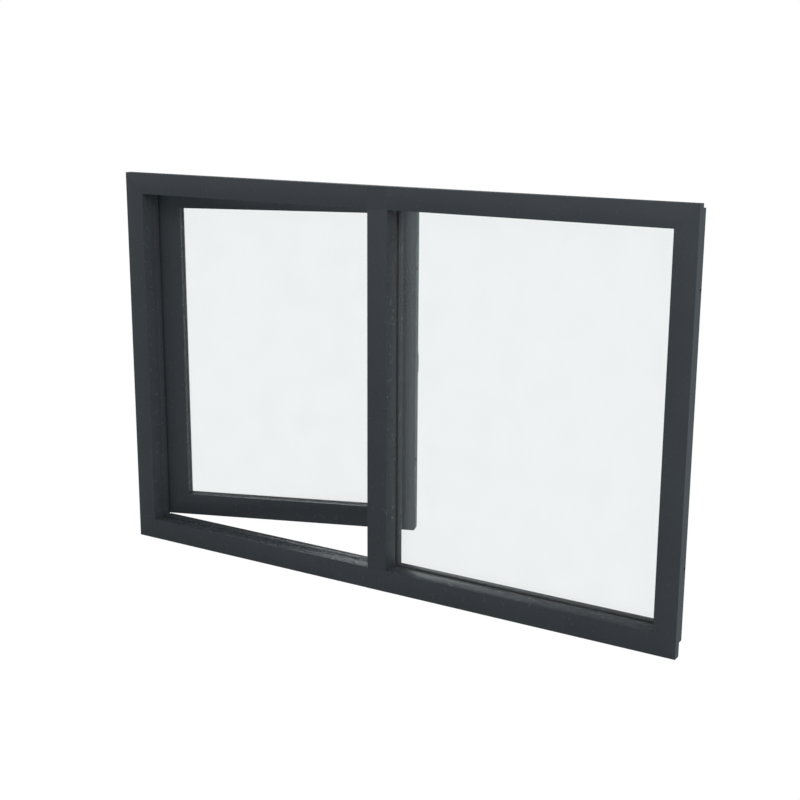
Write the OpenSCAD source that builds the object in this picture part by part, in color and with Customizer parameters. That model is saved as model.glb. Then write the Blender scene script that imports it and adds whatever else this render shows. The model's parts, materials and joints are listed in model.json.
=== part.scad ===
// Aluminium casement window: a side-hung, inward-opening sash beside a fixed light.
// X runs along the width, Y from outdoors to indoors, Z up.
// The origin is the middle of the flat underside of the frame body.

/* [Window] */
// Width over the outdoor flange
win_w = 1500; // [1200:10:2200]
// Height over the outdoor flange
win_h = 960; // [700:10:1500]
// Visible width of the frame and of the mullion
face_w = 52; // [48:1:70]
// Middle of the mullion, from the left edge
mullion_x = 750; // [600:10:1000]
// How far the sash stands open, in degrees
open_angle = 20; // [0:1:90]

/* [Frame section] */
// Depth of the frame, front face to back face
frame_d = 75; // [72:1:95]
// Thickness of the outdoor flange
flange_t = 21; // [14:1:26]
// How far the flange stands out past the frame body
flange_out = 14; // [8:1:16]
// Depth of the stop that the fixed glass rests against
glass_stop_d = 40; // [34:1:44]
// Depth of the stop that the sash closes against
sash_stop_d = 60; // [56:1:62]
// Depth of the rebate below the visible edge
rebate = 20; // [18:1:22]
// How far the mullion's stop stands out behind the sash
mullion_stop_out = 18; // [15:1:22]
// Thickness of the mullion's stop
mullion_stop_t = 12; // [10:1:16]
// Wall of the frame profiles
wall = 2; // [1.5:0.1:2.5]
// Wall of the small clip-in profiles
thin_wall = 1.4; // [1:0.1:1.8]

/* [Sash] */
// Visible width of the sash rails and stiles
rail_w = 55; // [50:1:75]
// Depth of the sash
sash_d = 36; // [34:1:44]
// Depth of the stop that the sash glass rests against
sash_lip_d = 12; // [10:1:14]
// Depth of the glass rebate in the sash
sash_rebate = 16; // [14:1:20]
// How far the sash laps behind the left jamb's stop
lap_hinge = 11.8; // [10:0.1:13]
// How far the sash laps behind the mullion's stop
lap_lock = 6; // [5.5:0.1:9]
// How far the sash laps behind the head's stop
lap_head = 16; // [8:1:16]
// Height of the closed sash above the level of the sill
sill_gap = 0; // [0:0.5:4]
// Gap between the closed sash and the stops
stop_gap = 1.5; // [1:0.1:2]

/* [Glazing] */
// Thickness of each pane
pane_t = 4; // [3:1:5]
// Gap between the two panes
pane_gap = 6; // [5:1:8]
// Thickness of the fixed light's outdoor gasket
outer_gasket_t = 3; // [2:0.5:4]
// Thickness of the sash's gaskets and of the indoor gaskets
gasket_t = 2; // [1.5:0.5:3]
// Width of the gaskets
gasket_w = 9; // [7:1:11]
// Clearance between the edge of the glass and its rebate
glass_clear = 4; // [3:0.5:6]
// Width of the spacer bar and its sealant, from the edge of the glass
spacer_w = 11; // [9:1:14]
// Length of a setting block
block_l = 100; // [60:5:120]
// Width of the stop seals
seal_w = 5; // [4:0.5:6]

/* [Hardware] */
// Number of hinges
hinges = 2; // [2:1:4]
// From the end of the sash to the middle of a hinge
hinge_end = 150; // [80:5:180]
// Height of a hinge
hinge_h = 90; // [70:5:120]
// Radius of the hinge knuckles
knuckle_r = 6.5; // [6:0.1:7]
// Radius of the hinge pin
pin_r = 3; // [2.5:0.1:3.5]
// Thickness of the hinge leaves
leaf_t = 3; // [2.5:0.1:4]
// Travel of the lock rod
rod_travel = 18; // [15:1:20]
// Thickness of the lock rod
rod_t = 2.2; // [1.8:0.1:2.6]
// Side of the square spindle
spindle_w = 7; // [6:1:8]
// Spacing of the handle's two screws
handle_pitch = 43; // [40:1:46]
// Length of the handle's grip, from the spindle
grip_l = 118; // [90:1:130]
// From each end of the sash to a locking cam
cam_end = 190; // [140:5:240]

/* [Fixing] */
// Radius of the fixing holes through the frame
fix_r = 3.5; // [2.5:0.1:4]
// From each corner of the frame to the first fixing hole
fix_end = 180; // [150:5:220]

/* [Hidden] */
$fn = 40;

// Sides of a rectangular ring
BOTTOM = 0;
RIGHT = 1;
TOP = 2;
LEFT = 3;

eps = 0.01;
paint = [0.22, 0.24, 0.26];
rubber = [0.06, 0.06, 0.07];
steel = [0.62, 0.63, 0.65];
glass = [0.85, 0.92, 0.94, 0.35];
nylon = [0.15, 0.15, 0.16];

// Frame
floor_u = face_w - rebate;
mul_l = mullion_x - face_w / 2;
mul_r = mullion_x + face_w / 2;
mul_web_r = mul_r - rebate;
unit_t = 2 * pane_t + pane_gap;
block_fit = 0.5;
cleat_leg = 60;
cleat_fit = 0.1;
mul_block_h = 40;
mul_screw_y = [glass_stop_d + 9, frame_d - 13];
mul_screw_grip = 24;

// Fixed light: the ring of the rebate's floor
light_x = mul_web_r;
light_w = win_w - floor_u - mul_web_r;
light_h = win_h - 2 * floor_u;
fixed_glass_y = glass_stop_d + outer_gasket_t;
fixed_bead_y = fixed_glass_y + unit_t + gasket_t;

// Sash, closed
sash_x = face_w - lap_hinge;
sash_y = sash_stop_d + stop_gap;
sash_z = face_w + sill_gap;
sash_w = mul_l - mullion_stop_out + lap_lock - sash_x;
sash_h = win_h - face_w + lap_head - sash_z;
sash_floor = rail_w - sash_rebate;
sash_light_w = sash_w - 2 * sash_floor;
sash_light_h = sash_h - 2 * sash_floor;
sash_glass_y = sash_lip_d + gasket_t;
sash_bead_y = sash_glass_y + unit_t + gasket_t;

// Hinge
knuckle_gap = 0.4;
edge_gap = 0.5;
bush_t = 1.2;
pin_fit = 0.05;
axis_x = sash_x - knuckle_r - edge_gap;
axis_y = frame_d + leaf_t + knuckle_r + edge_gap;
knuckle_h = 24;
mid_z0 = knuckle_h + knuckle_gap;
mid_h = hinge_h - 2 * mid_z0;
leaf_on_sash = 34;
leaf_edge = 3;
pin_cap_h = 2;
pin_cap_edge = 0.5;
hinge_screws = 3;
screw_r = 2;
screw_head_r = 3.8;
screw_l = 14;

// Seals behind the stops
seal_depth = 2.5;
seal_clear = 0.3;
ledge_d = 5;
ledge_drop = 7;

// Lock, in the sash's own frame
groove_d = 4;
groove_y0 = 3;
groove_w = 8.2;
groove_y1 = groove_y0 + groove_w;
rod_clear = 0.3;
rod_sink = 0.4;
rod_x = sash_w - rod_sink;
rod_y0 = groove_y0 + rod_clear;
rod_w = groove_w - 2 * rod_clear;
rod_over = 60;
cam_r = 3.5;
cam_neck_r = 2.5;
cam_head_h = 2.6;
cam_y = groove_y0 + groove_w / 2;
pitch_r = rod_travel * 2 / PI;
teeth = 18;
tooth_step = 2 * PI * pitch_r / teeth;
tooth_h = 1.1;
tooth_gap = 0.35;
backset = rod_sink + rod_t + tooth_gap + tooth_h + pitch_r;
spindle_x = sash_w - backset;
spindle_z = sash_h / 2;
pinion_y0 = groove_y0 + 1;
pinion_t = groove_w - 2;
hub_wall = 1;
hub_r = spindle_w * sqrt(2) / 2 + hub_wall;
hub_fit = 0.05;
rack_n = 10;
rack_drop = round(rod_travel / 2 / tooth_step) * tooth_step;
rod_z0 = cam_end - rod_over;
rod_z1 = sash_h - cam_end + rod_over;
pocket_clear = 1;
gear_pocket = rack_n * tooth_step / 2 + max(rack_drop, rod_travel - rack_drop) + pocket_clear;
box_fit = 0.4;
box_y0 = groove_y1 + wall + box_fit;
box_half = 9;
neck_r = 9;
neck_fit = 0.05;
neck_clear = 0.5;
base_t = 10;
base_r = 15;
base_end = 2;
base_screw_grip = 12;
grip_out = 46;
grip_y = sash_d + grip_out;
grip_r = 8;
grip_end_r = 6.5;
socket_d = 24;

// Keeps on the mullion
keep_t = 2.5;
keep_clear = 2;
keep_reach = mullion_stop_out - lap_lock - keep_t - keep_clear;
keep_claw_t = 2.5;
keep_claw_l = 14;
keep_l = 60;
keep_step = 2;
keep_y0 = sash_stop_d + keep_step;
keep_screw_end = 8;
keep_screw_l = 12;
cam_hold = 2;
cam_out = rod_sink + keep_clear + cam_hold;

// Fixings
fix_inset = 6;
fix_y = frame_d - fix_inset;
fix_gap = 3;

// Drains in the sill
drain_pitch = 24;
drain_r = 2.5;
drain_in = 6;

// ---- Helpers ----

// Moves from the flange's front lower left corner to the model's origin
module in_window() {
    translate([-win_w / 2, -(frame_d + flange_t) / 2, -flange_out]) children();
}

// Places what is drawn in the closed sash's own frame, at the opening angle
module in_sash() {
    in_window()
        translate([axis_x, axis_y, 0])
            rotate([0, 0, open_angle])
                translate([sash_x - axis_x, sash_y - axis_y, sash_z])
                    children();
}

// Puts a bar, drawn along X with its rise along Z, on one side of a ring w by h
module on_side(side, w, h) {
    if (side == BOTTOM) children();
    if (side == RIGHT) translate([w, 0, 0]) rotate([0, -90, 0]) children();
    if (side == TOP) translate([w, 0, h]) rotate([0, 180, 0]) children();
    if (side == LEFT) translate([0, 0, h]) rotate([0, 90, 0]) children();
}

function side_len(side, w, h) = (side == BOTTOM || side == TOP) ? w : h;

// A bar with mitred ends; its section is drawn as [depth, rise]
module mitred_bar(len, rise, depth, start = true, end = true) {
    a = start ? rise : 0;
    b = end ? rise : 0;
    intersection() {
        rotate([90, 0, 90]) linear_extrude(len) children();
        translate([0, depth + 1, 0])
            rotate([90, 0, 0])
                linear_extrude(depth + 2)
                    polygon([[0, 0], [len, 0], [len - b, rise], [a, rise]]);
    }
}

// A rectangle from one corner to the other
module rect(a, b) {
    translate(a) square(b - a);
}

// A frame of four plain strips round a ring w by h, as one closed loop
module loop_strip(w, h, y, t, inset0, inset1) {
    translate([inset0, y, inset0])
        difference() {
            cube([w - 2 * inset0, t, h - 2 * inset0]);
            translate([inset1 - inset0, -1, inset1 - inset0])
                cube([w - 2 * inset1, t + 2, h - 2 * inset1]);
        }
}

// A countersunk screw that points along -Z, with its head's top at the origin
module screw(len = screw_l) {
    head_h = screw_head_r - screw_r;
    translate([0, 0, -head_h]) cylinder(r1 = screw_r, r2 = screw_head_r, h = head_h);
    translate([0, 0, -len]) cylinder(r = screw_r, h = len - head_h + eps);
}

// ---- Frame ----

module frame_section() {
    difference() {
        polygon([
            [0, 0], [0, face_w], [glass_stop_d, face_w], [glass_stop_d, floor_u],
            [frame_d, floor_u], [frame_d, flange_out], [flange_t, flange_out], [flange_t, 0]
        ]);
        rect([wall, wall], [flange_t - wall, face_w - wall]);
        rect([flange_t, flange_out + wall], [frame_d - wall, floor_u - wall]);
        rect([flange_t, floor_u], [glass_stop_d - wall, face_w - wall]);
    }
}

function fix_count(side) = (side == BOTTOM || side == TOP) ? 4 : 2;

// Fixing holes through one side's rebate and body
module fixing_holes(side) {
    len = side_len(side, win_w, win_h);
    n = fix_count(side);
    step = (len - 2 * fix_end) / (n - 1);
    for (i = [0 : n - 1])
        translate([fix_end + i * step, fix_y, flange_out - 1])
            cylinder(r = fix_r, h = floor_u - flange_out + 2);
}

module frame_side(side) {
    len = side_len(side, win_w, win_h);
    on_side(side, win_w, win_h)
        difference() {
            mitred_bar(len, face_w, frame_d) frame_section();
            fixing_holes(side);
        }
}

module head() {
    color(paint) in_window() difference() {
        frame_side(TOP);
        mullion_screw_set();
    }
}

module sill() {
    color(paint) in_window() difference() {
        frame_side(BOTTOM);
        mullion_screw_set();
        for (x = [mul_l / 2, (mul_r + win_w) / 2])
            for (dx = [-drain_pitch / 2, drain_pitch / 2])
                translate([x + dx, glass_stop_d + drain_in, flange_out - 1])
                    cylinder(r = drain_r, h = floor_u - flange_out + 2);
    }
}

module left_jamb() {
    color(paint) in_window() difference() {
        frame_side(LEFT);
        hinge_frame_screw_set();
    }
}

module right_jamb() {
    color(paint) in_window() frame_side(RIGHT);
}

module mullion_section() {
    lip_y = sash_stop_d - mullion_stop_t;
    difference() {
        polygon([
            [mul_l, 0], [mul_r, 0], [mul_r, glass_stop_d], [mul_web_r, glass_stop_d],
            [mul_web_r, frame_d], [mul_l, frame_d], [mul_l, sash_stop_d],
            [mul_l - mullion_stop_out, sash_stop_d], [mul_l - mullion_stop_out, lip_y],
            [mul_l, lip_y]
        ]);
        rect([mul_l + wall, wall], [mul_r - wall, glass_stop_d - wall]);
        rect([mul_l + wall, glass_stop_d], [mul_web_r - wall, frame_d - wall]);
        rect([mul_l - mullion_stop_out + wall, lip_y + wall],
             [mul_l, sash_stop_d - seal_depth - wall]);
        translate([mul_l - mullion_stop_out - 1, sash_stop_d - seal_depth])
            square([seal_w + 1, seal_depth + 1]);
    }
}

module mullion() {
    color(paint) in_window() difference() {
        translate([0, 0, floor_u]) linear_extrude(win_h - 2 * floor_u) mullion_section();
        for (z = [floor_u - 1, win_h - face_w]) {
            translate([mul_l - 1, -1, z]) cube([face_w + 2, glass_stop_d + 1, rebate + 1]);
            translate([mul_l - mullion_stop_out - 1, -1, z])
                cube([mullion_stop_out + 1, sash_stop_d + 2, rebate + 1]);
        }
        keep_screw_set();
    }
}

// ---- Stops of the opening light ----

// Stop profile, clipped into the rebate, with a groove for the seal
module stop_section(ledge) {
    top = rebate;
    difference() {
        union() {
            rect([glass_stop_d, 0], [sash_stop_d, top]);
            if (ledge) rect([sash_stop_d - eps, 0], [sash_stop_d + ledge_d, top - ledge_drop]);
        }
        rect([glass_stop_d + thin_wall, thin_wall],
             [sash_stop_d - seal_depth - thin_wall, top - thin_wall]);
        if (ledge)
            rect([sash_stop_d, thin_wall],
                 [sash_stop_d + ledge_d - thin_wall, top - ledge_drop - thin_wall]);
        if (!ledge)
            rect([sash_stop_d - seal_depth, top - seal_w], [sash_stop_d + 1, top + 1]);
    }
}

module stop_side(side) {
    w = mul_l - floor_u;
    len = side_len(side, w, light_h);
    in_window() translate([floor_u, 0, floor_u])
        on_side(side, w, light_h)
            mitred_bar(len, rebate, frame_d, side != TOP, side != BOTTOM)
                stop_section(side == BOTTOM);
}

module stop_head() {
    color(paint) stop_side(TOP);
}

module stop_jamb() {
    color(paint) stop_side(LEFT);
}

module stop_sill() {
    color(paint) stop_side(BOTTOM);
}

// Seals on the jamb, the head and the mullion, which the sash's face presses on
module stop_seal() {
    base = sash_stop_d - seal_depth;
    t = sash_y - seal_clear - base;
    u0 = face_w - seal_w;
    x1 = mul_l - mullion_stop_out;
    color(rubber) in_window() {
        translate([u0, base, face_w]) cube([seal_w, t, win_h - 2 * face_w]);
        translate([x1, base, face_w]) cube([seal_w, t, win_h - 2 * face_w]);
        translate([u0, base, win_h - face_w]) cube([x1 + seal_w - u0, t, seal_w]);
    }
}

// Bulb seal on the sill's ledge, under the sash's bottom rail
module sill_seal() {
    bulb_r = (ledge_d - 1) / 2;
    z0 = face_w - ledge_drop;
    color(rubber) in_window()
        translate([face_w, sash_y + bulb_r + seal_clear, z0])
            rotate([90, 0, 90])
                linear_extrude(mul_l - face_w - 1)
                    union() {
                        translate([0, sash_z - seal_clear - z0 - bulb_r]) circle(bulb_r);
                        rect([-1, 0], [1, sash_z - seal_clear - z0 - bulb_r]);
                    }
}

// ---- Joints of the frame ----

// One corner cleat in a chamber from u0 to u1, drawn in the X-Z plane
module cleat(u0, u1, y0, y1, leg) {
    translate([0, y1, 0]) rotate([90, 0, 0]) linear_extrude(y1 - y0)
        polygon([
            [u0, u0], [u0 + leg, u0], [u0 + leg, u1], [u1, u1], [u1, u0 + leg], [u0, u0 + leg]
        ]);
}

// The cleat at all four corners of a ring w by h
module four_cleats(w, h, u0, u1, y0, y1, leg) {
    for (mx = [0, 1])
        for (mz = [0, 1])
            translate([mx * w, 0, mz * h])
                mirror([mx, 0, 0])
                    mirror([0, 0, mz])
                        cleat(u0, u1, y0, y1, leg);
}

module frame_cleats() {
    color(steel) in_window()
        four_cleats(win_w, win_h, flange_out + wall + cleat_fit, floor_u - wall - cleat_fit,
                    flange_t + cleat_fit, fix_y - fix_r - fix_gap, cleat_leg);
}

// Blocks inside both ends of the mullion, which its screws pull down
module mullion_cleats() {
    color(steel) in_window() for (z = [floor_u, win_h - floor_u - mul_block_h])
        difference() {
            translate([mul_l + wall + cleat_fit, glass_stop_d + cleat_fit, z])
                cube([mul_web_r - mul_l - 2 * (wall + cleat_fit),
                      frame_d - glass_stop_d - wall - 2 * cleat_fit, mul_block_h]);
            mullion_screw_set();
        }
}

module mullion_screw_set() {
    x = (mul_l + mul_web_r) / 2;
    len = floor_u - flange_out + mul_screw_grip;
    for (y = mul_screw_y) {
        translate([x, y, flange_out]) rotate([180, 0, 0]) screw(len);
        translate([x, y, win_h - flange_out]) screw(len);
    }
}

module mullion_screws() {
    color(steel) in_window() mullion_screw_set();
}

// ---- Fixed light ----

module in_fixed() {
    in_window() translate([light_x, 0, floor_u]) children();
}

module pane(w, h, y) {
    translate([glass_clear, y, glass_clear])
        cube([w - 2 * glass_clear, pane_t, h - 2 * glass_clear]);
}

module spacer(w, h, y) {
    loop_strip(w, h, y + pane_t, pane_gap, glass_clear, glass_clear + spacer_w);
}

// One glazing bead, a hollow box from the rebate's floor up to the visible edge
module bead(side, w, h, y0, y1, rise) {
    len = side_len(side, w, h);
    on_side(side, w, h)
        mitred_bar(len, rise, y1)
            difference() {
                rect([y0, 0], [y1, rise]);
                rect([y0 + thin_wall, thin_wall], [y1 - thin_wall, rise - thin_wall]);
            }
}

module fixed_bead(side) {
    color(paint) in_fixed() bead(side, light_w, light_h, fixed_bead_y, frame_d, rebate);
}

module fixed_outer_pane() {
    color(glass) in_fixed() pane(light_w, light_h, fixed_glass_y);
}

module fixed_inner_pane() {
    color(glass) in_fixed() pane(light_w, light_h, fixed_glass_y + pane_t + pane_gap);
}

module fixed_spacer() {
    color(nylon) in_fixed() spacer(light_w, light_h, fixed_glass_y);
}

module fixed_bead_bottom() {
    fixed_bead(BOTTOM);
}

module fixed_bead_right() {
    fixed_bead(RIGHT);
}

module fixed_bead_top() {
    fixed_bead(TOP);
}

module fixed_bead_left() {
    fixed_bead(LEFT);
}

module fixed_outer_gasket() {
    color(rubber) in_fixed()
        loop_strip(light_w, light_h, glass_stop_d, outer_gasket_t, rebate - gasket_w, rebate);
}

module fixed_inner_gasket() {
    color(rubber) in_fixed()
        loop_strip(light_w, light_h, fixed_bead_y - gasket_t, gasket_t,
                   rebate - gasket_w, rebate);
}

// Blocks under the glass, and blocks that keep it in place at the sides and the top
module setting_blocks(w, h, y) {
    b = block_l;
    quarter = w / 4;
    block_w = unit_t - 2 * block_fit;
    translate([0, y + block_fit, 0]) {
        for (x = [quarter - b / 2, 3 * quarter - b / 2]) {
            translate([x, 0, 0]) cube([b, block_w, glass_clear]);
            translate([x, 0, h - glass_clear]) cube([b, block_w, glass_clear]);
        }
        for (z = [h / 5, 4 * h / 5 - b]) {
            translate([0, 0, z]) cube([glass_clear, block_w, b]);
            translate([w - glass_clear, 0, z]) cube([glass_clear, block_w, b]);
        }
    }
}

module fixed_setting_blocks() {
    color(nylon) in_fixed() setting_blocks(light_w, light_h, fixed_glass_y);
}

// ---- Sash ----

module sash_section() {
    difference() {
        polygon([
            [0, 0], [0, rail_w], [sash_lip_d, rail_w], [sash_lip_d, sash_floor],
            [sash_d, sash_floor], [sash_d, 0], [groove_y1, 0], [groove_y1, groove_d],
            [groove_y0, groove_d], [groove_y0, 0]
        ]);
        polygon([
            [wall, groove_d + wall], [groove_y1 + wall, groove_d + wall],
            [groove_y1 + wall, wall], [sash_d - wall, wall],
            [sash_d - wall, sash_floor - wall], [wall, sash_floor - wall]
        ]);
        rect([wall, sash_floor], [sash_lip_d - wall, rail_w - wall]);
    }
}

module sash_side(side) {
    len = side_len(side, sash_w, sash_h);
    on_side(side, sash_w, sash_h)
        mitred_bar(len, rail_w, sash_d) sash_section();
}

module sash_bottom_rail() {
    color(paint) in_sash() sash_side(BOTTOM);
}

module sash_top_rail() {
    color(paint) in_sash() sash_side(TOP);
}

module sash_hinge_stile() {
    color(paint) in_sash() difference() {
        sash_side(LEFT);
        hinge_sash_screw_set();
    }
}

module sash_lock_stile() {
    color(paint) in_sash() difference() {
        sash_side(RIGHT);
        translate([spindle_x, sash_d + 1, spindle_z])
            rotate([90, 0, 0]) cylinder(r = neck_r + neck_clear, h = wall + 2);
        handle_screw_set();
        translate([sash_w - groove_d - wall - 1, groove_y0, spindle_z - gear_pocket])
            cube([wall + 2, groove_w, 2 * gear_pocket]);
    }
}

module sash_cleats() {
    color(steel) in_sash() difference() {
        four_cleats(sash_w, sash_h, groove_d + wall + cleat_fit,
                    sash_floor - wall - cleat_fit,
                    groove_y1 + wall + cleat_fit, sash_d - wall - cleat_fit, cleat_leg);
        hinge_sash_screw_set();
    }
}

module in_sash_light() {
    in_sash() translate([sash_floor, 0, sash_floor]) children();
}

module sash_bead(side) {
    color(paint) in_sash_light()
        bead(side, sash_light_w, sash_light_h, sash_bead_y, sash_d, sash_rebate);
}

module sash_outer_pane() {
    color(glass) in_sash_light() pane(sash_light_w, sash_light_h, sash_glass_y);
}

module sash_inner_pane() {
    color(glass) in_sash_light()
        pane(sash_light_w, sash_light_h, sash_glass_y + pane_t + pane_gap);
}

module sash_spacer() {
    color(nylon) in_sash_light() spacer(sash_light_w, sash_light_h, sash_glass_y);
}

module sash_bead_bottom() {
    sash_bead(BOTTOM);
}

module sash_bead_right() {
    sash_bead(RIGHT);
}

module sash_bead_top() {
    sash_bead(TOP);
}

module sash_bead_left() {
    sash_bead(LEFT);
}

module sash_outer_gasket() {
    color(rubber) in_sash_light()
        loop_strip(sash_light_w, sash_light_h, sash_lip_d, gasket_t,
                   sash_rebate - gasket_w, sash_rebate);
}

module sash_inner_gasket() {
    color(rubber) in_sash_light()
        loop_strip(sash_light_w, sash_light_h, sash_bead_y - gasket_t, gasket_t,
                   sash_rebate - gasket_w, sash_rebate);
}

module sash_setting_blocks() {
    color(nylon) in_sash_light() setting_blocks(sash_light_w, sash_light_h, sash_glass_y);
}

// ---- Hinges ----

// Heights of the hinges' lower ends above the sash's bottom edge
function hinge_z(i) =
    hinge_end - hinge_h / 2 + i * (sash_h - 2 * hinge_end) / (hinges - 1);

module each_hinge() {
    for (i = [0 : hinges - 1]) translate([0, 0, hinge_z(i)]) children();
}

// Heights of a leaf's screws above its lower end
function leaf_screw_z(i) = hinge_h * (2 * i + 1) / (2 * hinge_screws);

module hinge_frame_screw_set() {
    translate([flange_out + leaf_edge + screw_head_r, frame_d + leaf_t, sash_z])
        each_hinge()
            for (i = [0 : hinge_screws - 1])
                translate([0, 0, leaf_screw_z(i)])
                    rotate([-90, 0, 0]) screw();
}

module hinge_frame_screws() {
    color(steel) in_window() hinge_frame_screw_set();
}

module hinge_frame_leaves() {
    color(paint) in_window() difference() {
        translate([0, 0, sash_z]) each_hinge() difference() {
            union() {
                translate([flange_out + 1, frame_d, 0])
                    cube([axis_x - flange_out - 1, leaf_t, hinge_h]);
                for (z = [0, hinge_h - knuckle_h]) {
                    translate([axis_x, axis_y, z]) cylinder(r = knuckle_r, h = knuckle_h);
                    translate([axis_x - knuckle_r, frame_d + leaf_t - eps, z])
                        cube([knuckle_r, axis_y - frame_d - leaf_t, knuckle_h]);
                }
            }
            translate([axis_x, axis_y, -1]) cylinder(r = pin_r, h = hinge_h + 2);
        }
        hinge_frame_screw_set();
    }
}

module hinge_pins() {
    cap_r = knuckle_r - pin_cap_edge;
    color(steel) in_window() translate([axis_x, axis_y, sash_z]) each_hinge() {
        cylinder(r = pin_r, h = hinge_h);
        translate([0, 0, hinge_h]) cylinder(r = cap_r, h = pin_cap_h);
        translate([0, 0, -pin_cap_h]) cylinder(r = cap_r, h = pin_cap_h);
    }
}

// The sash leaf's knuckle, in the closed sash's own frame
module at_knuckle() {
    translate([axis_x - sash_x, axis_y - sash_y, 0]) each_hinge()
        translate([0, 0, mid_z0]) children();
}

module hinge_sash_screw_set() {
    translate([leaf_on_sash / 2 + leaf_edge, sash_d + leaf_t, 0]) each_hinge()
        for (i = [0 : hinge_screws - 1])
            translate([0, 0, leaf_screw_z(i)]) rotate([-90, 0, 0]) screw();
}

module hinge_sash_screws() {
    color(steel) in_sash() hinge_sash_screw_set();
}

// A leaf on the sash's back, and between the frame's knuckles a web out to its own knuckle
module hinge_sash_leaves() {
    pin_x = axis_x - sash_x;
    pin_y = axis_y - sash_y;
    back = sash_d + leaf_t;
    web_y0 = min(pin_y, sash_d);
    web_y1 = max(pin_y, back);
    color(paint) in_sash() difference() {
        union() {
            at_knuckle() cylinder(r = knuckle_r, h = mid_h);
            each_hinge() {
                translate([0, sash_d, 0]) cube([leaf_on_sash, leaf_t, hinge_h]);
                translate([pin_x, sash_d, mid_z0]) cube([leaf_on_sash - pin_x, leaf_t, mid_h]);
                translate([pin_x, web_y0, mid_z0]) cube([-pin_x, web_y1 - web_y0, mid_h]);
            }
        }
        at_knuckle() translate([0, 0, -1]) cylinder(r = pin_r + pin_fit + bush_t, h = mid_h + 2);
        hinge_sash_screw_set();
    }
}

module hinge_bushes() {
    color(nylon) in_sash() at_knuckle() difference() {
        cylinder(r = pin_r + pin_fit + bush_t, h = mid_h);
        translate([0, 0, -1]) cylinder(r = pin_r + pin_fit, h = mid_h + 2);
    }
}

// ---- Handle and lock ----

module at_spindle(y) {
    translate([spindle_x, y, spindle_z]) children();
}

module handle_screw_set() {
    for (dz = [-handle_pitch / 2, handle_pitch / 2])
        at_spindle(sash_d + base_t) translate([0, 0, dz])
            rotate([-90, 0, 0]) screw(base_t + wall + base_screw_grip);
}

module handle_base_screws() {
    color(steel) in_sash() handle_screw_set();
}

module gearbox() {
    box_y1 = sash_d - wall;
    color(steel) in_sash() difference() {
        translate([spindle_x - box_half, box_y0, spindle_z - gear_pocket])
            cube([2 * box_half, box_y1 - box_y0, 2 * gear_pocket]);
        at_spindle(box_y1 + 1) rotate([90, 0, 0])
            cylinder(r = hub_r + hub_fit, h = box_y1 - box_y0 + 2);
        handle_screw_set();
    }
}

module handle_base() {
    half = handle_pitch / 2 - base_end;
    color(paint) in_sash() difference() {
        at_spindle(sash_d + base_t) rotate([90, 0, 0]) {
            for (dz = [-half, half]) translate([0, dz, 0]) cylinder(r = base_r, h = base_t);
            translate([-base_r, -half, 0]) cube([2 * base_r, 2 * half, base_t]);
        }
        at_spindle(sash_d + base_t + 1) rotate([90, 0, 0])
            cylinder(r = neck_r + neck_fit, h = base_t + 2);
        handle_screw_set();
    }
}

// The handle rests unlocked, pointing across the sash towards the hinges
module handle_grip() {
    color(paint) in_sash() difference() {
        union() {
            at_spindle(grip_y) rotate([90, 0, 0])
                cylinder(r = neck_r, h = grip_y - sash_d - wall);
            at_spindle(grip_y) sphere(r = neck_r);
            at_spindle(grip_y) rotate([0, -90, 0])
                cylinder(r1 = grip_r, r2 = grip_end_r, h = grip_l - grip_end_r);
            at_spindle(grip_y) translate([grip_end_r - grip_l, 0, 0]) sphere(r = grip_end_r);
        }
        at_spindle(sash_d + socket_d) rotate([90, 0, 0])
            translate([-spindle_w / 2, -spindle_w / 2, 0])
                cube([spindle_w, spindle_w, socket_d + 2 * wall]);
    }
}

module spindle() {
    color(steel) in_sash() at_spindle(sash_d + socket_d) rotate([90, 0, 0])
        translate([-spindle_w / 2, -spindle_w / 2, 0])
            cube([spindle_w, spindle_w, sash_d + socket_d - pinion_y0]);
}

// A gear with straight-sided teeth, in the X-Y plane
module gear_2d(r, n, h, gap) {
    step = 360 / n;
    half = step / 4 - gap / 2 / r * 180 / PI;
    polygon([
        for (i = [0 : n - 1])
            for (p = [
                [r - h - gap, -half - step / 12], [r + h, -half + step / 12],
                [r + h, half - step / 12], [r - h - gap, half + step / 12]
            ])
                let (a = i * step + p[1])
                    [p[0] * cos(a), p[0] * sin(a)]
    ]);
}

module pinion() {
    color(steel) in_sash() difference() {
        union() {
            at_spindle(pinion_y0 + pinion_t) rotate([90, 0, 0])
                linear_extrude(pinion_t) gear_2d(pitch_r, teeth, tooth_h, tooth_gap);
            at_spindle(sash_d - wall) rotate([90, 0, 0])
                cylinder(r = hub_r, h = sash_d - wall - pinion_y0 - pinion_t + eps);
        }
        at_spindle(sash_d) rotate([90, 0, 0])
            translate([-spindle_w / 2, -spindle_w / 2, 0])
                cube([spindle_w, spindle_w, sash_d]);
    }
}

// The rack's teeth point at the pinion; a gap between two of them faces the spindle
module rack_2d(n, gap) {
    half = tooth_step / 4 - gap / 2;
    slant = tooth_step / 12;
    for (i = [0 : n - 1])
        translate([0, (i - (n - 1) / 2) * tooth_step])
            polygon([
                [tooth_h + 1, -half - slant], [-tooth_h, -half + slant],
                [-tooth_h, half - slant], [tooth_h + 1, half + slant]
            ]);
}

module lock_rod() {
    color(steel) in_sash() {
        translate([rod_x - rod_t, rod_y0, rod_z0]) cube([rod_t, rod_w, rod_z1 - rod_z0]);
        at_spindle(pinion_y0 + pinion_t) translate([pitch_r, 0, -rack_drop])
            rotate([90, 0, 0]) linear_extrude(pinion_t) rack_2d(rack_n, tooth_gap);
    }
}

// Heights of the cams when the lock is open
function cam_z(i) = i == 0 ? cam_end : sash_h - cam_end;

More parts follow.
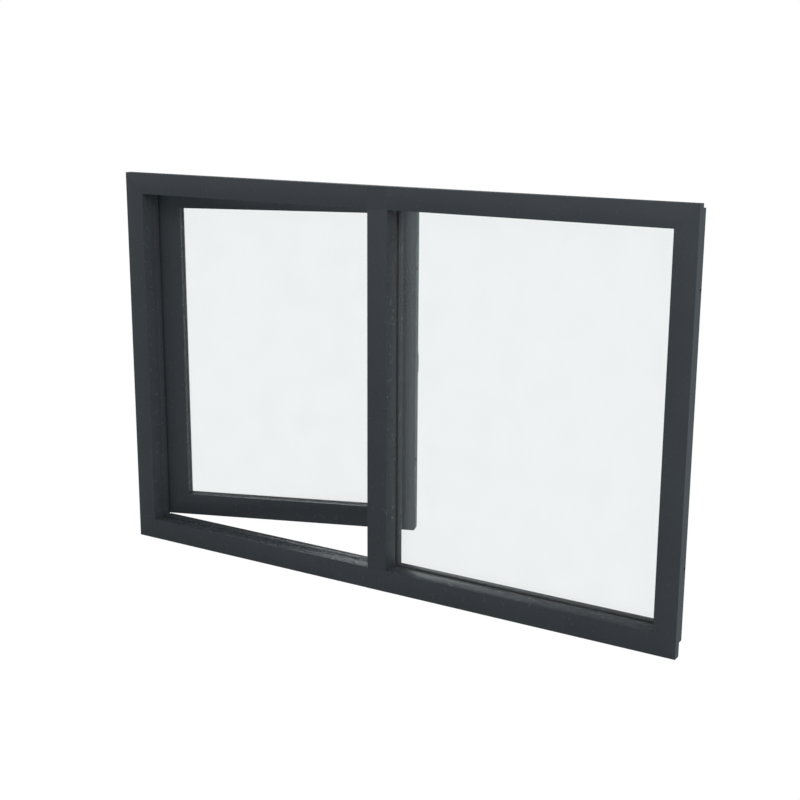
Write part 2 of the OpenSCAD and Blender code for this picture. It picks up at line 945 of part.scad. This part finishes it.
module lock_cams() {
    color(steel) in_sash() for (i = [0, 1])
        translate([rod_x, cam_y, cam_z(i)]) rotate([0, 90, 0]) {
            cylinder(r = cam_neck_r, h = cam_out - eps);
            translate([0, 0, cam_out - cam_head_h]) cylinder(r = cam_r, h = cam_head_h);
        }
}

// Height of a keep's middle above the window's lower edge
function keep_z(i) = sash_z + cam_z(i) + rod_travel;

module keep_screw_set() {
    for (i = [0, 1])
        for (dz = [-keep_l / 2 + keep_screw_end, keep_l / 2 - keep_screw_end])
            translate([mul_l - keep_t, (keep_y0 + frame_d) / 2, keep_z(i) + dz])
                rotate([0, -90, 0]) screw(keep_screw_l);
}

module keep_screws() {
    color(steel) in_window() keep_screw_set();
}

module keeps() {
    color(steel) in_window() difference() {
        for (i = [0, 1]) translate([mul_l - keep_t, keep_y0, keep_z(i)]) {
            translate([0, 0, -keep_l / 2]) cube([keep_t, frame_d - keep_y0, keep_l]);
            translate([-keep_reach, frame_d - keep_y0 - keep_claw_t, -keep_claw_l / 2])
                cube([keep_reach + eps, keep_claw_t, keep_claw_l]);
        }
        keep_screw_set();
    }
}

head();
sill();
left_jamb();
right_jamb();
mullion();
stop_head();
stop_jamb();
stop_sill();
stop_seal();
sill_seal();
frame_cleats();
mullion_cleats();
mullion_screws();
fixed_outer_pane();
fixed_inner_pane();
fixed_spacer();
fixed_bead_bottom();
fixed_bead_right();
fixed_bead_top();
fixed_bead_left();
fixed_outer_gasket();
fixed_inner_gasket();
fixed_setting_blocks();
hinge_frame_leaves();
hinge_pins();
hinge_frame_screws();
keeps();
keep_screws();
sash_bottom_rail();
sash_lock_stile();
sash_top_rail();
sash_hinge_stile();
sash_cleats();
sash_outer_pane();
sash_inner_pane();
sash_spacer();
sash_bead_bottom();
sash_bead_right();
sash_bead_top();
sash_bead_left();
sash_outer_gasket();
sash_inner_gasket();
sash_setting_blocks();
hinge_sash_leaves();
hinge_bushes();
hinge_sash_screws();
gearbox();
handle_base();
handle_base_screws();
handle_grip();
spindle();
pinion();
lock_rod();
lock_cams();
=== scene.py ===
"""Looks of the casement window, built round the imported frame. Metres, Z up, row frame."""
import json
import math

import bmesh
import bpy
from mathutils import Matrix, Vector

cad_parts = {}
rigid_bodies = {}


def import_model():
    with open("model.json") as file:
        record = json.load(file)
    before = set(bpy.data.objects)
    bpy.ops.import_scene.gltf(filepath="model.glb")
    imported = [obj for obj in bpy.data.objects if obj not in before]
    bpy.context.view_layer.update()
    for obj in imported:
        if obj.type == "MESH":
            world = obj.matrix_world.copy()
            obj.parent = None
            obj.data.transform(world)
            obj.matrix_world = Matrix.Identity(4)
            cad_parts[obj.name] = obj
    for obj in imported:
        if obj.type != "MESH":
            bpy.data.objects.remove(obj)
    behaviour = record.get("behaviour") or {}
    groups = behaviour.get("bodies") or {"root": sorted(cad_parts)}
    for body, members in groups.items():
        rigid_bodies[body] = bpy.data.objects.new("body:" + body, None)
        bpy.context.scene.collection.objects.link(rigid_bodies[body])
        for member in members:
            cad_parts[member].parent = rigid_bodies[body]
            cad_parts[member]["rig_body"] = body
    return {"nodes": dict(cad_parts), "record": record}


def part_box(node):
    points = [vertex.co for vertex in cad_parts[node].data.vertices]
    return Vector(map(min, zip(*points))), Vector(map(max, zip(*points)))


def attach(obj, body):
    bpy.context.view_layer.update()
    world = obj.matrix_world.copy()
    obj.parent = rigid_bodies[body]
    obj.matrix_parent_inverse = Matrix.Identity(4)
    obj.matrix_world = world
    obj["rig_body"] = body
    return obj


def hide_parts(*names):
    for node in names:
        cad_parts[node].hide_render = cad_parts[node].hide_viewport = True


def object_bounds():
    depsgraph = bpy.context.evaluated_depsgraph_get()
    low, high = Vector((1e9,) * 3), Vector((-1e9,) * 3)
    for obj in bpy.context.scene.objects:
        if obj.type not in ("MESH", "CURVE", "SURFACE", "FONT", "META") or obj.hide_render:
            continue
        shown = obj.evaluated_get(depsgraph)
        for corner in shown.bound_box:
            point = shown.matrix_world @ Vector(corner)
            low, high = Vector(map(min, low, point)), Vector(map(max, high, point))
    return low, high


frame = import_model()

cad_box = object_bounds()
scene = bpy.context.scene
MM = 0.001


# ---- Node helpers ----

def new_material(name):
    material = bpy.data.materials.new(name)
    material.use_nodes = True
    tree = material.node_tree
    tree.nodes.clear()
    output = tree.nodes.new("ShaderNodeOutputMaterial")
    shader = tree.nodes.new("ShaderNodeBsdfPrincipled")
    tree.links.new(shader.outputs["BSDF"], output.inputs["Surface"])
    return material, tree, shader


def object_coordinates(tree):
    return tree.nodes.new("ShaderNodeTexCoord").outputs["Object"]


def noise(tree, features_per_metre, detail=3.0, roughness=0.5, stretch=None):
    """Fractal noise in the piece's own metres. stretch squeezes it along the axes."""
    node = tree.nodes.new("ShaderNodeTexNoise")
    node.inputs["Scale"].default_value = features_per_metre
    node.inputs["Detail"].default_value = detail
    node.inputs["Roughness"].default_value = roughness
    source = object_coordinates(tree)
    if stretch:
        mapping = tree.nodes.new("ShaderNodeMapping")
        mapping.inputs["Scale"].default_value = stretch
        tree.links.new(source, mapping.inputs["Vector"])
        source = mapping.outputs["Vector"]
    tree.links.new(source, node.inputs["Vector"])
    return node.outputs["Fac"]


def remap(tree, source, low, high):
    node = tree.nodes.new("ShaderNodeMapRange")
    node.inputs["From Min"].default_value = 0.3
    node.inputs["From Max"].default_value = 0.7
    node.inputs["To Min"].default_value = low
    node.inputs["To Max"].default_value = high
    tree.links.new(source, node.inputs["Value"])
    return node.outputs["Result"]


def two_tone(tree, source, first, second):
    node = tree.nodes.new("ShaderNodeMix")
    node.data_type = "RGBA"
    node.inputs["A"].default_value = (*first, 1)
    node.inputs["B"].default_value = (*second, 1)
    tree.links.new(source, node.inputs["Factor"])
    return node.outputs["Result"]


def bump(tree, shader, source, height):
    node = tree.nodes.new("ShaderNodeBump")
    node.inputs["Strength"].default_value = 1.0
    node.inputs["Distance"].default_value = height
    tree.links.new(source, node.inputs["Height"])
    tree.links.new(node.outputs["Normal"], shader.inputs["Normal"])


def shade(colour, factor):
    return tuple(c * factor for c in colour)


# ---- Materials ----

def powder_coat(name, colour, roughness):
    """Satin powder coat: fine orange peel, slightly uneven gloss and tone."""
    material, tree, shader = new_material(name)
    tone = remap(tree, noise(tree, 9, 4), 0, 1)
    mixed = two_tone(tree, tone, shade(colour, 0.95), shade(colour, 1.05))
    tree.links.new(mixed, shader.inputs["Base Color"])
    gloss = remap(tree, noise(tree, 60, 4), roughness - 0.02, roughness + 0.02)
    tree.links.new(gloss, shader.inputs["Roughness"])
    shader.inputs["Specular IOR Level"].default_value = 0.20
    bump(tree, shader, noise(tree, 900, 2), 0.0012 * MM)
    return material


def pane_glass():
    """Clear float glass with a trace of tint and unevenness."""
    material, tree, shader = new_material("pane_glass")
    tint = remap(tree, noise(tree, 14, 3), 0, 1)
    mixed = two_tone(tree, tint, (0.960, 0.970, 0.970), (0.972, 0.980, 0.980))
    tree.links.new(mixed, shader.inputs["Base Color"])
    shader.inputs["Roughness"].default_value = 0.0
    shader.inputs["IOR"].default_value = 1.45
    shader.inputs["Transmission Weight"].default_value = 0.9935
    return material


def rubber(name, colour):
    """Extruded rubber with a fine, dull skin."""
    material, tree, shader = new_material(name)
    tone = remap(tree, noise(tree, 300, 4), 0, 1)
    mixed = two_tone(tree, tone, shade(colour, 0.85), shade(colour, 1.2))
    tree.links.new(mixed, shader.inputs["Base Color"])
    rough = remap(tree, noise(tree, 500, 3), 0.62, 0.78)
    tree.links.new(rough, shader.inputs["Roughness"])
    bump(tree, shader, noise(tree, 1500, 2), 0.02 * MM)
    return material


def plastic(name, colour):
    """Moulded plastic with a fine spark texture."""
    material, tree, shader = new_material(name)
    tone = remap(tree, noise(tree, 80, 3), 0, 1)
    mixed = two_tone(tree, tone, shade(colour, 0.92), shade(colour, 1.08))
    tree.links.new(mixed, shader.inputs["Base Color"])
    rough = remap(tree, noise(tree, 400, 3), 0.42, 0.52)
    tree.links.new(rough, shader.inputs["Roughness"])
    bump(tree, shader, noise(tree, 2200, 2), 0.015 * MM)
    return material


def brushed_metal(name, colour, roughness, along):
    """Metal with drawing lines; along holds the squeeze per axis."""
    material, tree, shader = new_material(name)
    lines = noise(tree, 1, 5, 0.7, along)
    mixed = two_tone(tree, remap(tree, lines, 0, 1), shade(colour, 0.88), colour)
    tree.links.new(mixed, shader.inputs["Base Color"])
    rough = remap(tree, lines, roughness - 0.06, roughness + 0.06)
    tree.links.new(rough, shader.inputs["Roughness"])
    shader.inputs["Metallic"].default_value = 1.0
    bump(tree, shader, lines, 0.01 * MM)
    return material


ANTHRACITE = (0.046, 0.0525, 0.059)
PAINT = powder_coat("anthracite_coat", ANTHRACITE, 0.26)
BLACK_STEEL = powder_coat("black_steel", (0.010, 0.010, 0.011), 0.35)
GLASS = pane_glass()
BLACK_RUBBER = rubber("black_rubber", (0.012, 0.012, 0.013))
GREY_RUBBER = rubber("grey_rubber", (0.046, 0.052, 0.056))
DARK_PLASTIC = plastic("dark_plastic", (0.035, 0.037, 0.040))
MILL = brushed_metal("mill_aluminium", (0.78, 0.79, 0.80), 0.38, (1200, 1200, 60))
ZINC = brushed_metal("zinc_steel", (0.62, 0.63, 0.64), 0.34, (900, 900, 900))

SLOT_MATERIAL = {
    "paint": PAINT, "glass": GLASS, "rubber": BLACK_RUBBER, "spacer_plastic": DARK_PLASTIC,
    "block_plastic": DARK_PLASTIC, "raw_aluminium": MILL, "steel": ZINC,
}
slot_of = {s["node"]: s["material_slot"] for s in frame["record"]["subparts"]}


def dress(piece, material):
    piece.data.materials.clear()
    piece.data.materials.append(material)


for name, piece in frame["nodes"].items():
    dress(piece, SLOT_MATERIAL[slot_of[name]])
for name in ("fixed_outer_gasket", "fixed_inner_gasket", "sash_outer_gasket", "sash_inner_gasket"):
    dress(frame["nodes"][name], GREY_RUBBER)
for name in ("keeps", "gearbox", "pinion"):
    dress(frame["nodes"][name], BLACK_STEEL)
for name in ("lock_rod", "lock_cams"):
    dress(frame["nodes"][name], PAINT)
for name in ("fixed_outer_pane", "fixed_inner_pane", "sash_outer_pane", "sash_inner_pane"):
    frame["nodes"][name].visible_shadow = False


# ---- Eased edges ----

MITRE_RISE = (0.3, 0.95)
FLAT_ANGLE = math.radians(0.5)
EDGE_ANGLE = math.radians(40)
SMOOTH_ANGLE = math.radians(20)
WELD = 1e-6


def is_mitre(face):
    """True for the slanted cut at a profile's end, which meets its neighbour's."""
    return MITRE_RISE[0] < abs(face.normal.z) < MITRE_RISE[1]


def eased_copy(name, width, shared_x=(), shortest=3 * MM):
    """A copy of a CAD node whose outer edges are eased, down to the shortest length. It stands
    for the node. Edges inside the shared_x ranges meet another profile and stay sharp."""
    source = frame["nodes"][name]
    bm = bmesh.new()
    bm.from_mesh(source.data)
    bmesh.ops.remove_doubles(bm, verts=bm.verts, dist=WELD)
    bmesh.ops.dissolve_limit(bm, angle_limit=FLAT_ANGLE, verts=bm.verts, edges=bm.edges)
    for x in [x for pair in shared_x for x in pair]:
        geometry = bm.verts[:] + bm.edges[:] + bm.faces[:]
        bmesh.ops.bisect_plane(bm, geom=geometry, plane_co=(x, 0, 0), plane_no=(1, 0, 0))
    chosen = []
    for edge in bm.edges:
        if len(edge.link_faces) != 2 or edge.calc_length() < shortest:
            continue
        if any(is_mitre(f) for f in edge.link_faces):
            continue
        middle = (edge.verts[0].co + edge.verts[1].co) / 2
        if any(low < middle.x < high for low, high in shared_x):
            continue
        if edge.is_convex and edge.calc_face_angle() > EDGE_ANGLE:
            chosen.append(edge)
    bmesh.ops.bevel(bm, geom=chosen, offset=width, segments=3, profile=0.5,
                    affect="EDGES", clamp_overlap=True)
    mesh = bpy.data.meshes.new(name + "_eased")
    bm.to_mesh(mesh)
    bm.free()
    mesh.shade_smooth()
    piece = bpy.data.objects.new(name + "_eased", mesh)
    scene.collection.objects.link(piece)
    mesh.set_sharp_from_angle(angle=SMOOTH_ANGLE)
    mesh.materials.append(source.data.materials[0])
    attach(piece, source["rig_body"])
    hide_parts(name)


EASE = 0.4 * MM
SMALL_EASE = EASE / 2
PLATE_EASE = 1.2 * MM
mullion_low, mullion_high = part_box("mullion")
mullion_lip = 18 * MM
mullion_face = [(mullion_low.x + mullion_lip, mullion_high.x)]
for name in ("head", "sill"):
    eased_copy(name, EASE, mullion_face)
for name in ("left_jamb", "right_jamb", "mullion", "stop_head", "stop_jamb", "stop_sill"):
    eased_copy(name, EASE)
for side in ("bottom_rail", "lock_stile", "top_rail", "hinge_stile"):
    eased_copy("sash_" + side, EASE)
for side in ("bottom", "right", "top", "left"):
    eased_copy("fixed_bead_" + side, EASE)
    eased_copy("sash_bead_" + side, EASE)
for name in ("keeps", "gearbox"):
    eased_copy(name, SMALL_EASE)
for name in ("hinge_frame_leaves", "hinge_sash_leaves", "hinge_pins"):
    eased_copy(name, SMALL_EASE, shortest=0.8 * MM)
eased_copy("handle_base", PLATE_EASE, shortest=1 * MM)


# ---- Handle ----

RING_POINTS = 32
LEVER_SMOOTH_ANGLE = math.radians(50)
SQUARENESS = 2.5


def ring(bm, centre, across, up, half_across, half_up):
    """One rounded-square section of the handle, as a loop of vertices."""
    verts = []
    for i in range(RING_POINTS):
        angle = 2 * math.pi * i / RING_POINTS
        c, s = math.cos(angle), math.sin(angle)
        u = math.copysign(abs(c) ** (2 / SQUARENESS), c) * half_across
        v = math.copysign(abs(s) ** (2 / SQUARENESS), s) * half_up
        verts.append(bm.verts.new(centre + across * u + up * v))
    return verts


# The lever, in mm: how far out its neck is straight, its bend, and its section along the way
NECK_END = 28
BEND = 18
BEND_STEPS = 10
NECK_HALF = 7.2
BEND_THIN = 0.7
BEND_TALL = 2.0
NECK = ((-1.5, 8.4), (10, 8.4), (11, 8.2), (14, 7.6), (20, NECK_HALF), (NECK_END, NECK_HALF))
GRIP = ((26, 6.4, 9.4), (45, 6.2, 9.3), (75, 5.9, 8.8), (100, 5.6, 8.2), (110, 5.4, 7.6),
        (114, 4.9, 6.8), (116.5, 3.9, 5.4), (117.7, 2.4, 3.4))


def lever_sections():
    """The lever's centre line in mm as (towards the hinges, out of the sash), the way it
    runs, and its half widths. It leaves the sash as a neck, bends, and tapers to its end."""
    sections = [((0, out), 90, half, half) for out, half in NECK]
    for i in range(1, BEND_STEPS + 1):
        part = i / BEND_STEPS
        turn = math.radians(90 * part)
        place = (BEND - BEND * math.cos(turn), NECK_END + BEND * math.sin(turn))
        sections.append((place, 90 - math.degrees(turn), NECK_HALF - BEND_THIN * part,
                         NECK_HALF + BEND_TALL * part))
    for along, thick, tall in GRIP:
        sections.append(((along, NECK_END + BEND), 0, thick, tall))
    return sections


def make_lever():
    """The lever stands for the CAD grip: its neck turns about the spindle, square to the sash."""
    joint = next(j for j in frame["record"]["behaviour"]["joints"] if j["name"] == "handle_turn")
    spindle = Vector(joint["pos_m"])
    outward = Vector(joint["axis"]).normalized()
    outward = outward if outward.y > 0 else -outward
    up = Vector((0, 0, 1))
    along = outward.cross(up).normalized()
    along = along if along.x < 0 else -along
    bm = bmesh.new()
    loops = []
    for (run, out), slope, thick, tall in lever_sections():
        centre = spindle + (along * run + outward * out) * MM
        angle = math.radians(slope)
        thickness = along * math.sin(angle) - outward * math.cos(angle)
        loops.append(ring(bm, centre, thickness, up, thick * MM, tall * MM))
    for first, second in zip(loops, loops[1:]):
        for i in range(RING_POINTS):
            k = (i + 1) % RING_POINTS
            bm.faces.new((first[i], first[k], second[k], second[i]))
    bm.faces.new(loops[0][::-1])
    bm.faces.new(loops[-1])
    bmesh.ops.recalc_face_normals(bm, faces=bm.faces)
    mesh = bpy.data.meshes.new("handle_lever")
    bm.to_mesh(mesh)
    bm.free()
    mesh.shade_smooth()
    mesh.set_sharp_from_angle(angle=LEVER_SMOOTH_ANGLE)
    mesh.materials.append(PAINT)
    lever = bpy.data.objects.new("handle_lever", mesh)
    scene.collection.objects.link(lever)
    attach(lever, frame["nodes"]["handle_grip"]["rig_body"])
    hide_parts("handle_grip")


make_lever()


# ---- Stage, light and camera ----

# SKY lights dull surfaces; the GLOSS values are what gloss mirrors of the sky and the floor
SKY = 0.50
SKY_GLOSS_FRONT = 0.80
SKY_GLOSS_BACK = 0.16
PATCH_PLACE = (33, 20)  # degrees to the left of straight back, and degrees up
PATCH_RADII = (4, 9)  # degrees: full inside the first, gone outside the second
PATCH_GLOSS = 2.0
SKY_TINT = (0.94, 0.98, 1.0)
FLOOR_SIZE = 14
FLOOR_TONE = 0.55
FLOOR_GLOSS = 0.37
FLOOR_TINT = (0.80, 0.96, 1.0)
SKY_RAMP = 0.3
FLOOR_GAP = 0.5 * MM


def is_zero(tree, source):
    node = tree.nodes.new("ShaderNodeMath")
    node.operation = "LESS_THAN"
    node.inputs[1].default_value = 0.5
    tree.links.new(source, node.inputs[0])
    return node.outputs["Value"]


def light_paths(tree):
    """Two switches: seen straight or through glass only, and not by way of any dull surface."""
    path = tree.nodes.new("ShaderNodeLightPath")
    bounces = tree.nodes.new("ShaderNodeMath")
    bounces.operation = "ADD"
    tree.links.new(path.outputs["Diffuse Depth"], bounces.inputs[0])
    tree.links.new(path.outputs["Glossy Depth"], bounces.inputs[1])
    return is_zero(tree, bounces.outputs["Value"]), is_zero(tree, path.outputs["Diffuse Depth"])


def make_floor():
    low = cad_box[0]
    bm = bmesh.new()
    bmesh.ops.create_grid(bm, x_segments=1, y_segments=1, size=FLOOR_SIZE)
    mesh = bpy.data.meshes.new("floor")
    bm.to_mesh(mesh)
    bm.free()
    floor = bpy.data.objects.new("floor", mesh)
    floor.location = (0, 0, low.z - FLOOR_GAP)
    scene.collection.objects.link(floor)
    material, tree, shader = new_material("floor_white")
    shader.inputs["Base Color"].default_value = (FLOOR_TONE, FLOOR_TONE, FLOOR_TONE, 1)
    shader.inputs["Roughness"].default_value = 1.0
    shader.inputs["Specular IOR Level"].default_value = 0.0
    white = tree.nodes.new("ShaderNodeEmission")
    mirrored = tree.nodes.new("ShaderNodeEmission")
    mirrored.inputs["Color"].default_value = (*FLOOR_TINT, 1)
    mirrored.inputs["Strength"].default_value = FLOOR_GLOSS
    straight, not_dull = light_paths(tree)
    gloss = tree.nodes.new("ShaderNodeMixShader")
    tree.links.new(not_dull, gloss.inputs["Fac"])
    tree.links.new(shader.outputs["BSDF"], gloss.inputs[1])
    tree.links.new(mirrored.outputs["Emission"], gloss.inputs[2])
    mix = tree.nodes.new("ShaderNodeMixShader")
    tree.links.new(straight, mix.inputs["Fac"])
    tree.links.new(gloss.outputs["Shader"], mix.inputs[1])
    tree.links.new(white.outputs["Emission"], mix.inputs[2])
    output = next(n for n in tree.nodes if n.type == "OUTPUT_MATERIAL")
    tree.links.new(mix.outputs["Shader"], output.inputs["Surface"])
    mesh.materials.append(material)


def background(tree, strength, colour=(1, 1, 1)):
    node = tree.nodes.new("ShaderNodeBackground")
    node.inputs["Color"].default_value = (*colour, 1)
    if isinstance(strength, float):
        node.inputs["Strength"].default_value = strength
    else:
        tree.links.new(strength, node.inputs["Strength"])
    return node.outputs["Background"]


def sky_direction(tree):
    return tree.nodes.new("ShaderNodeTexCoord").outputs["Generated"]


def front_to_back(tree):
    """The mirrored sky's strength, which falls from the outdoor side to the indoor side."""
    split = tree.nodes.new("ShaderNodeSeparateXYZ")
    tree.links.new(sky_direction(tree), split.inputs["Vector"])
    ramp = tree.nodes.new("ShaderNodeMapRange")
    ramp.inputs["From Min"].default_value = -SKY_RAMP
    ramp.inputs["From Max"].default_value = SKY_RAMP
    ramp.inputs["To Min"].default_value = SKY_GLOSS_FRONT
    ramp.inputs["To Max"].default_value = SKY_GLOSS_BACK
    tree.links.new(split.outputs["Y"], ramp.inputs["Value"])
    return ramp.outputs["Result"]


def soft_patch(tree, base):
    """A bright patch of the mirrored sky, behind the window and to its left."""
    towards = tree.nodes.new("ShaderNodeVectorMath")
    towards.operation = "DOT_PRODUCT"
    azimuth, elevation = (math.radians(a) for a in PATCH_PLACE)
    towards.inputs[1].default_value = (-math.sin(azimuth) * math.cos(elevation),
                                       math.cos(azimuth) * math.cos(elevation),
                                       math.sin(elevation))
    tree.links.new(sky_direction(tree), towards.inputs[0])
    ramp = tree.nodes.new("ShaderNodeMapRange")
    ramp.interpolation_type = "SMOOTHSTEP"
    ramp.inputs["From Min"].default_value = math.cos(math.radians(PATCH_RADII[1]))
    ramp.inputs["From Max"].default_value = math.cos(math.radians(PATCH_RADII[0]))
    ramp.inputs["To Min"].default_value = 0.0
    ramp.inputs["To Max"].default_value = PATCH_GLOSS
    tree.links.new(towards.outputs["Value"], ramp.inputs["Value"])
    total = tree.nodes.new("ShaderNodeMath")
    total.operation = "ADD"
    tree.links.new(base, total.inputs[0])
    tree.links.new(ramp.outputs["Result"], total.inputs[1])
    return total.outputs["Value"]


def make_world():
    """White all round for the eye, softer for the light that falls on the window."""
    world = bpy.data.worlds.new("studio")
    scene.world = world
    world.use_nodes = True
    tree = world.node_tree
    tree.nodes.clear()
    output = tree.nodes.new("ShaderNodeOutputWorld")
    straight, not_dull = light_paths(tree)
    gloss = tree.nodes.new("ShaderNodeMixShader")
    tree.links.new(not_dull, gloss.inputs["Fac"])
    tree.links.new(background(tree, SKY, SKY_TINT), gloss.inputs[1])
    mirrored = soft_patch(tree, front_to_back(tree))
    tree.links.new(background(tree, mirrored, SKY_TINT), gloss.inputs[2])
    mix = tree.nodes.new("ShaderNodeMixShader")
    tree.links.new(straight, mix.inputs["Fac"])
    tree.links.new(gloss.outputs["Shader"], mix.inputs[1])
    tree.links.new(background(tree, 1.0), mix.inputs[2])
    tree.links.new(mix.outputs["Shader"], output.inputs["Surface"])


def soft_box(name, place, target, side, watts):
    data = bpy.data.lights.new(name, "AREA")
    data.shape = "RECTANGLE"
    data.size = side
    data.size_y = side
    data.energy = watts
    light = bpy.data.objects.new(name, data)
    light.location = place
    direction = Vector(target) - Vector(place)
    light.rotation_euler = direction.to_track_quat("-Z", "Y").to_euler()
    light.visible_camera = False
    scene.collection.objects.link(light)


def make_camera():
    place = Vector((1.6443, -2.6180, 1.1887))
    yaw, pitch, roll = 0.5514, -0.2361, 0.0052
    data = bpy.data.cameras.new("camera")
    data.sensor_width = 36.0
    data.lens = 60.91
    data.clip_start = 0.05
    data.clip_end = 100
    camera = bpy.data.objects.new("camera", data)
    turn = (Matrix.Rotation(yaw, 4, "Z") @ Matrix.Rotation(pitch, 4, "X")
            @ Matrix.Rotation(-roll, 4, "Y") @ Matrix.Rotation(math.pi / 2, 4, "X"))
    camera.matrix_world = Matrix.Translation(place) @ turn
    scene.collection.objects.link(camera)
    scene.camera = camera


scene.view_settings.view_transform = "Standard"
make_floor()
make_world()
soft_box("key", (1.3, -2.4, 3.0), (0.3, 0, 0.5), 1.8, 30)
soft_box("fill", (3.0, -1.3, 1.6), (0, 0, 0.5), 1.4, 22)
make_camera()
